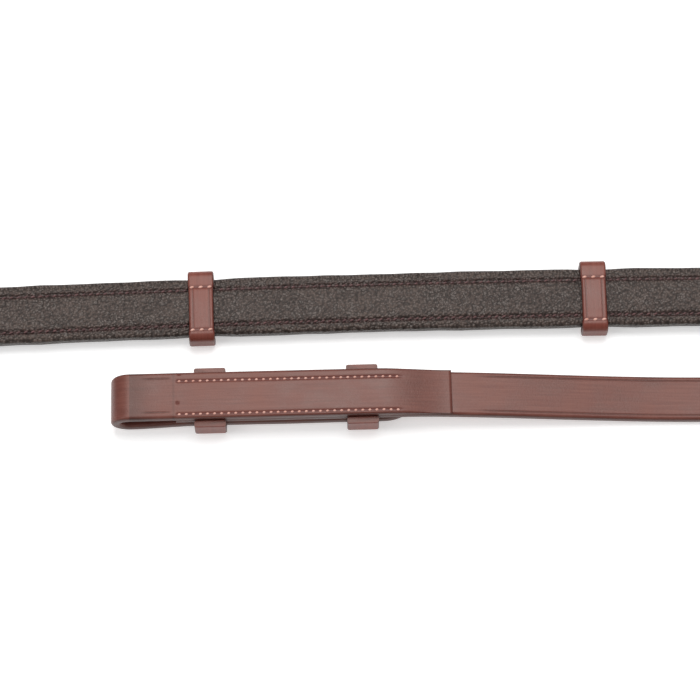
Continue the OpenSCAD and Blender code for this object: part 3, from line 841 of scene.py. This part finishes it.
@dataclass
class PlainStrap:
    """The smooth strap of one half, end to end."""

    half: Half
    finishes: Finishes
    station: float = 3.0

    def build(self) -> None:
        """Sweeps the strap and punches what passes through it."""
        half = self.half
        s = self._stations()
        f = half.frames(s)
        t = half.thickness(s)
        w = np.full(len(s), S.strap_w)
        if half.side is Side.A:
            ends = self._turned_end(f.centre[-1])
            f, t = f.join(ends), np.concatenate((t, np.full(len(ends.along), S.skived_t)))
            w = np.full(len(t), S.strap_w)
            crease = smooth((f.along - 100.0) / 12.0)
        else:
            w = w - 12.0 * (1.0 - np.sqrt(np.clip(s / 9.0, 0.0, 1.0)))
            crease = smooth((half.length - s - 100.0) / 12.0) * smooth((s - 3.0) / 4.0)
        crease = crease * (1.0 - half.in_grip(f.along, 1.0))
        name = f"leather_strap_{half.side.value}"
        obj = strap_piece(name, f, w, t, crease).build(self.finishes.bridle)
        self._punch(obj)
        settle(obj, "bridle_leather", f"strap_{half.side.value}")

    def _stations(self) -> Array:
        """Even stations, and closer ones over the buckle."""
        half = self.half
        coarse = np.linspace(0.0, half.length, int(half.length / self.station) + 1)
        if half.side is Side.A:
            fine = np.arange(half.length - 30.0, half.length, 1.5)
            return np.unique(np.round(np.concatenate((coarse, fine)), 2))[:-1]
        fine = np.concatenate((np.linspace(0.0, 9.0, 13) ** 2 / 9.0,
                               np.arange(S.point_len - 20.0, S.point_len + 30.0, 0.8)))
        return np.unique(np.round(np.concatenate((coarse, fine)), 2))

    def _turned_end(self, last: Array) -> Frames:
        """Half A's end round the heel bar, a half circle, and back along itself."""
        x0, y0, _, _ = (float(v[0]) for v in self.half.plan(np.array([self.half.length])))
        bar = np.array((x0, y0, S.bar_z + S.wall - S.fold_r))
        angle = np.radians(np.linspace(0.0, 180.0, 19))
        d = np.concatenate((np.linspace(1.0, S.ramp_len, 10), np.linspace(20.0, S.turned_len, 9)))
        drop = mix(S.fold_mid_r, S.turned_z - S.bar_z, smooth(d / S.ramp_len))
        x = np.concatenate((S.fold_mid_r * np.sin(angle), -d))
        z = np.concatenate((-S.fold_mid_r * np.cos(angle), drop))
        slope = np.gradient(drop, d)
        pitch = np.concatenate((angle, math.pi - np.arctan(slope)))
        zero = np.zeros_like(x)
        centre = bar + np.stack((x, zero, z), 1)
        across = np.stack((zero, zero + 1.0, zero), 1)
        up = np.stack((-np.sin(pitch), zero, np.cos(pitch)), 1)
        along = self.half.length + np.concatenate((S.fold_mid_r * angle, S.fold_mid_r * math.pi + d))
        return Frames(centre, across, up, along)

    def _punch(self, obj: bpy.types.Object) -> None:
        """Cuts the oval holes of the plain end, or the tongue's slot and the stud's hole."""
        half = self.half
        cutters = []
        if half.side is Side.A:
            x0, y0, _, _ = (float(v[0]) for v in half.plan(np.array([half.length])))
            place = Spot(x0 - 1.0, y0, 0.0, S.bar_z + S.wall)
            cutters.append(cutter(place, 14.0, 4.2, 14.0, 0.0, square=True))
        else:
            x0 = half.start[0] + S.point_len
            u = S.hole_u
            height = float(point_height(np.array([u]))[0]) + S.wall
            cutters.append(cutter(Spot(x0 + u, half.start[1], 0.0, height), 9.6, 3.2, 12.0,
                                  math.radians(S.ramp_angle)))
            for i in (-3, -2, 2, 3):
                cutters.append(cutter(Spot(x0 + u + i * S.hole_pitch, half.start[1], 0.0, S.point_z),
                                      9.6, 3.2, 30.0, 0.0))
        for tool in cutters:
            mod = obj.modifiers.new("punch", "BOOLEAN")
            mod.operation, mod.object, mod.solver = "DIFFERENCE", tool, "EXACT"
        apply_modifiers(obj)
        for tool in cutters:
            bpy.data.objects.remove(tool)


def cutter(spot: Spot, length: float, width: float, height: float, tilt: float,
           square: bool = False) -> bpy.types.Object:
    """An upright oval prism, or a box, for punching leather.

    Args:
        spot: its middle; lift is the height above the table.
        length: size along X.
        width: size along Y.
        height: size along its own axis.
        tilt: lean about Y, in radians.
        square: whether its ends are square.

    Returns:
        The object to cut with.
    """
    if square:
        ring = np.array(((1, -1), (1, 1), (-1, 1), (-1, -1))) * (length / 2.0, width / 2.0)
    else:
        a = np.radians(np.concatenate((np.linspace(-90, 90, 11), np.linspace(90, 270, 11))))
        shift = np.repeat((1.0, -1.0), 11) * (length - width) / 2.0
        ring = np.stack((np.cos(a) * width / 2.0 + shift, np.sin(a) * width / 2.0), 1)
    z = np.array((-height / 2.0, height / 2.0))
    x = ring[None, :, 0] * math.cos(tilt) + z[:, None] * math.sin(tilt)
    lift = -ring[None, :, 0] * math.sin(tilt) + z[:, None] * math.cos(tilt)
    y = np.broadcast_to(ring[None, :, 1], x.shape)
    blank = bpy.data.materials.get("punch") or bpy.data.materials.new("punch")
    return Piece("punch_tool", spot.put(np.stack((x, y, lift), -1))).build(blank, False)


def apply_modifiers(obj: bpy.types.Object) -> None:
    """Bakes an object's modifiers into its mesh and drops stray material slots."""
    graph = bpy.context.evaluated_depsgraph_get()
    mesh = bpy.data.meshes.new_from_object(obj.evaluated_get(graph))
    obj.modifiers.clear()
    old = obj.data
    obj.data = mesh
    bpy.data.meshes.remove(old)
    keep = mesh.materials[0]
    mesh.materials.clear()
    mesh.materials.append(keep)
    mesh.polygons.foreach_set("material_index", np.zeros(len(mesh.polygons), dtype=np.int32))


@dataclass
class BitEnd:
    """A hook-stud bit end: billet, stitching, two keepers and the stud."""

    side: Side
    spot: Spot
    finishes: Finishes
    pitch: float = 2.44
    row: float = 6.05
    row_shift: float = -0.95
    first_stitch: float = 17.4
    count: int = 32
    skive: tuple[float, float] = (87.0, 112.0)
    awl_marks: tuple[tuple[float, float], ...] = ((17.3, 7.75), (16.7, -2.8))

    def build(self) -> None:
        """Makes every piece of the bit end."""
        h = self.side.value
        billet = self._billet().build(self.finishes.bridle)
        settle(billet, "bridle_leather", f"billet_{h}")
        for i, x in enumerate(S.bit_keeper_x, 1):
            keeper = self._keeper(f"bit_loop_keeper_{h}_{i}", x - 0.6).build(self.finishes.loop)
            settle(keeper, "loop_leather", f"bit_keeper_{h}_{i}")
        self._stitching()
        stud = bpy.data.objects.get(f"hook_stud_{h}")
        dress(stud, self.finishes.steel)

    def _lap(self, x: Array) -> tuple[Array, Array]:
        """Thickness of the top layer at x, skived to a feather, and the height of its top."""
        start, end = self.skive
        t = mix(S.strap_t, 0.3, smooth((x - start) / (end - start)))
        strap_top = lap_lift(x - S.loop_len) + S.strap_t + 0.05
        return t, strap_top + t

    def _billet(self) -> Piece:
        """Billet strap: over the lap, a half circle round the bit, and back under the strap."""
        r, end = S.fold_r - S.strap_t / 2.0, S.loop_len + S.lap_len
        x_top = np.concatenate((np.linspace(self.skive[1], end - 9.0, 26)[:-1],
                                np.arange(end - 9.0, 19.0, -0.8),
                                np.arange(19.0, 14.5, -0.3), np.linspace(14.5, 0.3, 16)))
        t_top, z_top = self._lap(x_top)
        z_top = z_top - t_top / 2.0 - 0.05 * smooth((S.loop_len - x_top) / 8.0)
        angle = np.radians(np.linspace(90.0, 270.0, 33))
        x_tail = np.concatenate((np.linspace(1.0, 26.0, 22), np.linspace(28.0, end - 8.0, 28),
                                 end - 8.0 * (1.0 - np.linspace(0.1, 1.0, 10))))
        tail_top = S.tail_z + S.strap_t / 2.0
        z_tail = mix(S.strap_t / 2.0, tail_top, smooth(x_tail / 24.0))
        z_tail = z_tail - 0.25 * bell(x_tail - 55.0, 10.0)
        x = np.concatenate((x_top, r * np.cos(angle), x_tail))
        z = np.concatenate((z_top, S.fold_r + r * np.sin(angle), z_tail))
        t = np.concatenate((t_top, np.full(len(angle) + len(x_tail), S.strap_t)))
        step = np.hypot(np.diff(x, prepend=x[0]), np.diff(z, prepend=z[0]))
        along = np.cumsum(step)
        tangent = np.stack((np.gradient(x), np.zeros_like(x), np.gradient(z)), 1)
        tangent /= np.linalg.norm(tangent, axis=1, keepdims=True)
        across = np.zeros_like(tangent)
        across[:, 1] = 1.0
        up = np.cross(across, tangent)
        tip = np.clip((end - x_tail) / 8.0, 0.0, 1.0)
        w_tail = S.strap_w - 6.5 * (1.0 - np.sqrt(np.clip(1.0 - (1.0 - tip) ** 2, 0.0, 1.0)))
        w_top = mix(S.strap_w + 0.1, S.worn_w, smooth((self.skive[1] - x_top) / 30.0))
        w_fold = mix(S.worn_w, S.strap_w, smooth((angle - angle[0]) / (angle[-1] - angle[0])))
        w = np.concatenate((w_top, w_fold, w_tail))
        sewn = np.zeros_like(x)
        sewn[:len(x_top)] = smooth((x_top - 15.8) / 1.0) * smooth((end - x_top) / 3.0)
        crease = np.zeros_like(x)
        crease[:len(x_top)] = smooth((15.0 - x_top) / 2.0) * smooth((x_top - 3.0) / 4.0)
        frames = Frames(np.stack((x, np.zeros_like(x), z), 1), across, up, along)
        piece = strap_piece(f"hook_billet_{self.side.value}", frames, w, t, crease,
                            inset=2.3, channel=sewn, row=self.row, row_shift=self.row_shift)
        on_top = (np.arange(len(x)) < len(x_top))[:, None]
        y = piece.points[..., 1]
        marks = sum(bell(np.hypot(x[:, None] - mx, y - my), 0.5) for mx, my in self.awl_marks)
        # Painted shade: the top darkens towards the fold, which tips away from the light; the 0.3 term
        # adds a darker line across at x = 15.4, just before the stitching.
        line = 0.3 * bell(x[:, None] - 15.4, 0.4) + 0.55 * (1.0 - smooth(x[:, None] / 11.0))
        piece.values["tone"] = np.clip(piece.values["tone"] + line * on_top, 0.0, 1.0)
        piece.values["seam"] = np.clip(piece.values["seam"] + marks * on_top, 0.0, 1.0)
        piece.points[..., 2] -= 0.35 * marks * on_top
        piece.points = self.spot.put(piece.points)
        return piece

    def _keeper(self, name: str, x: float) -> Piece:
        """U of leather from one side of the strap, under the tail, to the other side."""
        in_w, top = S.worn_w + 0.1, S.lap_z + 1.5 * S.strap_t
        path, out = rounded_loop(in_w, S.wall, 2.0 * top, 0.8)
        keep = (path[:, 1] < top)
        order = np.argsort(-np.arctan2(path[keep, 0], -(path[keep, 1] - top - 0.01)))
        path, out = path[keep][order], out[keep][order]
        piece = band_piece(name, path, out, S.bit_keeper_w - 0.5, S.wall, False)
        piece.points = self.spot.put(piece.points + np.array((x, 0.0, 0.0)))
        return piece

    def _stitching(self) -> None:
        """Two rows of pale stitches through the lap."""
        x = self.first_stitch + self.pitch * np.arange(self.count)
        rows = (self.row_shift + self.row, self.row_shift - self.row)
        spots = stitch_spots(x, rows, 0.0)
        spots[:, 2] = self._lap(spots[:, 0])[1] - 0.16
        thread = Stitch(1.2, 0.4, 9.0, 0.2).sew(f"billet_stitching_{self.side.value}", spots,
                                                self.spot.put, self.finishes.pale_thread)
        settle(thread, "bridle_leather")


@dataclass
class Grip:
    """The pebbled cover of one half, its stitching and its five stops."""

    half: Half
    finishes: Finishes
    pitch: float = 2.55
    row: float = 6.55
    row_shift: float = 0.4
    stop_wall: float = 1.8
    stop_row: tuple[float, float] = (9.6, -6.4)

    def build(self) -> None:
        """Makes the cover, the thread and the stops."""
        h = self.half.side.value
        settle(self._cover().build(self.finishes.grip), "grip_leather", f"grip_cover_{h}")
        self._stitching()
        for i, middle in enumerate(self.half.stop_middles(), 1):
            stop = self._stop(f"rein_stop_{h}_{i}", middle).build(self.finishes.loop)
            settle(stop, "loop_leather", f"stop_{h}_{i}")
        self._stop_stitching()

    def _stitch_line(self) -> Array:
        """Distances of the grip's stitches."""
        count = int((S.grip_len - 6.0) / self.pitch)
        return self.half.grip[0] + 3.0 + self.pitch * (np.arange(count) + 0.5)

    def _cover(self) -> Piece:
        """Cover: a superellipse round the strap with a crowned panel between two sewn channels.

        The half height at a across is H (1 - |a/W|^p)^(1/p), plus a crown of cosine shape
        between the rows, less a bell at each row whose depth ripples at the stitch pitch.
        """
        stations = int(S.grip_len / (self.pitch / 2.0)) + 1
        s = np.linspace(self.half.grip[0], self.half.grip[1], stations)
        wide, high, power = S.grip_w / 2.0 + 0.1, S.grip_h / 2.0 - 0.12, 4.6
        top = np.sin(np.linspace(-math.pi / 2.0, math.pi / 2.0, 68))
        bottom = np.sin(np.linspace(math.pi / 2.0, -math.pi / 2.0, 26))[1:-1]
        a = np.concatenate((top, bottom)) * wide
        sign = np.concatenate((np.ones(68), -np.ones(24)))
        n = sign * high * (1.0 - np.abs(a / wide) ** power) ** (1.0 / power)
        off = np.abs(a - self.row_shift)
        crown = 0.3 * np.cos(np.clip(off / self.row, 0.0, 1.0) * math.pi / 2.0) ** 1.2
        dip = 0.62 * bell(off - self.row, 0.62)
        ripple = 1.0 + 0.3 * np.cos(2.0 * math.pi * (s - self._stitch_line()[0]) / self.pitch)
        ends = smooth((s - s[0]) / 3.0) * smooth((s[-1] - s) / 3.0)
        n = n[None, :] + sign * (crown[None, :] - dip[None, :] * ripple[:, None]) * ends[:, None]
        held = sum(bell(s - middle, 7.0) for middle in self.half.stop_middles())
        full = 1.0 + 0.03 * (1.0 - np.clip(held, 0.0, 1.0)) - 0.1 * (1.0 - ends)
        a2 = np.broadcast_to(a, n.shape) * full[:, None]
        rng = np.random.default_rng(7 if self.half.side is Side.A else 11)
        wave = np.interp(s, np.linspace(s[0], s[-1], 90), rng.normal(0.0, 0.12, 90))
        rolled = smooth((np.abs(a) - 7.0) / 2.5)
        a2 = a2 + np.sign(a) * wave[:, None] * rolled
        seam = 0.85 * bell(off - self.row, 0.95) + 0.0 * n
        points = self.half.place(np.broadcast_to(s[:, None], n.shape), a2, n)
        uv = np.stack((np.broadcast_to(s[:, None], n.shape), girth(a2, n)), -1)
        # Painted shade under the grip's rounded edges, through "tone": full on the underside, half on the
        # top edges.
        under = smooth((np.abs(a) - 9.7) / 0.8) * (1.0 - 0.5 * (sign > 0)) + 0.0 * n
        return Piece(f"grip_leather_{self.half.side.value}", points, uv, {"tone": under, "seam": seam})

    def _stitching(self) -> None:
        """Burgundy stitches in both channels, above and below."""
        line = self._stitch_line()
        clear = np.full(len(line), True)
        for middle in self.half.stop_middles():
            clear &= np.abs(line - middle) > S.stop_w / 2.0 + 0.6
        line = line[clear]
        high = S.grip_h / 2.0 - 0.12 - 0.52
        rows = (self.row_shift + self.row, self.row_shift - self.row)
        above, below = stitch_spots(line, rows, high), stitch_spots(line, rows, -high)
        spots = np.concatenate((above, below))
        stitch = Stitch(1.9, 0.36, 24.0, 0.2)
        put = lambda p: self.half.place(p[..., 0], p[..., 1], p[..., 2])
        thread = stitch.sew(f"grip_stitching_{self.half.side.value}", spots, put,
                            self.finishes.dark_thread)
        settle(thread, "grip_leather")

    def _stop(self, name: str, middle: float) -> Piece:
        """Stop: a band of leather bent round the grip, a little narrower down its sides."""
        wall = self.stop_wall
        path, out = rounded_loop(S.stop_out_w + 0.8 - 2.0 * wall, wall - S.stop_out_h / 2.0,
                                 S.stop_out_h / 2.0 - wall - 0.45, 1.2, 9, 56)
        piece = band_piece(name, path, out, S.stop_w, wall, True, self.stop_row)
        local = piece.points
        crown = 0.3 * np.cos(np.clip(local[..., 1] / 7.5, -1.0, 1.0) * math.pi / 2.0)
        local[..., 2] += crown * (local[..., 2] > 0.0)
        piece.points = self.half.place(middle + local[..., 0], local[..., 1], local[..., 2])
        return piece

    def _stop_stitching(self) -> None:
        """Two rows of three pale stitches across each stop, just inside the grip's edges."""
        spots = []
        for middle in self.half.stop_middles():
            along = middle + np.array((-3.1, 0.0, 3.1))
            spots.append(stitch_spots(along, self.stop_row, S.stop_out_h / 2.0 - 0.5))
        spots = np.concatenate(spots)
        stitch = Stitch(1.75, 0.46, 14.0, 0.25)
        put = lambda p: self.half.place(p[..., 0], p[..., 1], p[..., 2])
        thread = stitch.sew(f"stop_stitching_{self.half.side.value}", spots, put,
                            self.finishes.pale_thread)
        settle(thread, "loop_leather")


@dataclass
class BuckleEnd:
    """The buckle, its sewn keeper and the loose runner."""

    bar: Spot
    finishes: Finishes
    keeper_x: float = -22.0
    runner_x: float = -50.0

    def build(self) -> None:
        """Makes both loops and the stitching, and dresses the buckle."""
        for name, node, x, body in (("sewn_keeper", "buckle_keeper", self.keeper_x, BODY),
                                    ("sliding_runner", "runner_loop", self.runner_x, "runner")):
            loop = self._loop(name, x).build(self.finishes.loop)
            settle(loop, "loop_leather", node, body=body)
        for node in ("buckle_frame", "buckle_tongue"):
            dress(bpy.data.objects.get(node), self.finishes.steel)
        self._stitching()

    def _loop(self, name: str, x: float) -> Piece:
        """Closed band round the doubled end and the plain end on it."""
        wall = 2.0
        top = S.point_z + S.point_t / 2.0 + 0.25
        path, out = rounded_loop(S.strap_w + 0.6, -0.2, top, 0.9)
        piece = band_piece(name, path, out, S.runner_w, wall, True)
        piece.points = self.bar.put(piece.points + np.array((x, 0.0, 0.0)))
        return piece

    def _stitching(self) -> None:
        """Pale rows that hold the turned end down, seen from below."""
        x = -58.0 + 2.575 * np.arange(16)
        x = x[(np.abs(x - self.runner_x) > 6.0) & (np.abs(x - self.keeper_x) > 6.0)]
        spots = stitch_spots(x, (5.6, -5.6), 0.2)
        thread = Stitch(1.75, 0.3, 9.0, -0.3).sew("turned_end_stitching", spots, self.bar.put,
                                                  self.finishes.pale_thread)
        settle(thread, "bridle_leather")


def dress(obj: bpy.types.Object | None, material: bpy.types.Material) -> None:
    """Gives a carried-over solid its finish."""
    if obj is None:
        raise ValueError("a node that should be dressed is missing")
    obj.data.materials.clear()
    obj.data.materials.append(material)
    LOG.info("%s dressed in %s", obj.name, material.name)


# ------------------------------------------------------------------ stage


@dataclass(frozen=True)
class Studio:
    """Pale table, soft lights, and the camera over the bit end and the grip."""

    view_width: float = 247.1
    target: tuple[float, float] = (77.1, 19.9)
    elevation: float = 70.0
    turn: float = -1.5
    lens: float = 150.0

    def build(self) -> None:
        """Makes the floor, the lights, the world and the camera."""
        scene = bpy.context.scene
        scene.view_settings.view_transform = "Standard"
        self._floor()
        self._world(scene)
        centre = (self.target[0] * MM, self.target[1] * MM)
        self._light("overhead", (centre[0] + 0.05, centre[1] + 0.42, 1.2), 0.8, 12.5, centre)
        self._light("fill", (centre[0] - 0.8, centre[1] - 0.2, 0.9), 0.6, 2.5, centre)
        self._camera(scene)

    def _floor(self) -> None:
        """A wide flat sheet just under the reins."""
        half, z = 4.0, -S.fold_r * MM - 0.0004
        mesh = bpy.data.meshes.new("table")
        mesh.from_pydata([(-half, -half, z), (half, -half, z), (half, half, z), (-half, half, z)], [],
                         [(0, 1, 2, 3)])
        floor = bpy.data.objects.new("table", mesh)
        bpy.context.collection.objects.link(floor)
        mat = bpy.data.materials.new("white_card")
        mat.use_nodes = True
        bsdf = mat.node_tree.nodes["Principled BSDF"]
        bsdf.inputs["Base Color"].default_value = hex_linear("#ececec")
        bsdf.inputs["Emission Color"].default_value = (1.0, 1.0, 1.0, 1.0)
        bsdf.inputs["Emission Strength"].default_value = 0.45
        bsdf.inputs["Roughness"].default_value = 0.9
        bsdf.inputs["Specular IOR Level"].default_value = 0.1
        mesh.materials.append(mat)

    def _world(self, scene: bpy.types.Scene) -> None:
        """Even white surroundings."""
        world = bpy.data.worlds.new("studio")
        world.use_nodes = True
        back = world.node_tree.nodes["Background"]
        back.inputs["Color"].default_value = (1.0, 1.0, 1.0, 1.0)
        back.inputs["Strength"].default_value = 0.4
        scene.world = world

    def _light(self, name: str, place: tuple[float, float, float], size: float, power: float,
               aim: tuple[float, float]) -> None:
        """A square soft box that faces the aim."""
        data = bpy.data.lights.new(name, "AREA")
        data.shape, data.size, data.energy = "SQUARE", size, power
        light = bpy.data.objects.new(name, data)
        from mathutils import Vector
        light.location = place
        way = Vector((aim[0] - place[0], aim[1] - place[1], -place[2]))
        light.rotation_euler = way.to_track_quat("-Z", "Y").to_euler()
        bpy.context.collection.objects.link(light)

    def _camera(self, scene: bpy.types.Scene) -> None:
        """A long lens that sees view_width across at the target."""
        from mathutils import Matrix, Vector
        data = bpy.data.cameras.new("camera")
        data.lens, data.sensor_width = self.lens, 36.0
        data.clip_start, data.clip_end = 0.05, 20.0
        distance = self.view_width * MM * self.lens / data.sensor_width
        e, a = math.radians(self.elevation), math.radians(self.turn)
        back = Vector((math.sin(a) * math.cos(e), -math.cos(a) * math.cos(e), math.sin(e)))
        right = Vector((math.cos(a), math.sin(a), 0.0))
        camera = bpy.data.objects.new("camera", data)
        place = Vector((self.target[0] * MM, self.target[1] * MM, -S.fold_r * MM)) + back * distance
        turn = Matrix((right, back.cross(right), back)).transposed().to_4x4()
        camera.matrix_world = Matrix.Translation(place) @ turn
        bpy.context.collection.objects.link(camera)
        scene.camera = camera


def main() -> None:
    """Loads the frame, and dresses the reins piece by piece."""
    logging.basicConfig(level=logging.INFO, format="%(name)s: %(message)s", stream=sys.stdout)
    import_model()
    finishes = Finishes()
    half_a, half_b = make_halves()
    end_x, end_y, end_heading, _ = (float(v[0]) for v in half_b.plan(np.array([half_b.length])))
    spots = {Side.A: Spot(0.0, 0.0, 0.0), Side.B: Spot(end_x - S.loop_len, end_y, end_heading + 180.0)}
    for half in (half_a, half_b):
        PlainStrap(half, finishes).build()
        BitEnd(half.side, spots[half.side], finishes).build()
        Grip(half, finishes).build()
    bar_x, bar_y, _, _ = (float(v[0]) for v in half_a.plan(np.array([half_a.length])))
    BuckleEnd(Spot(bar_x, bar_y, 0.0, S.wall), finishes).build()
    Studio().build()


if __name__ == "__main__":
    main()
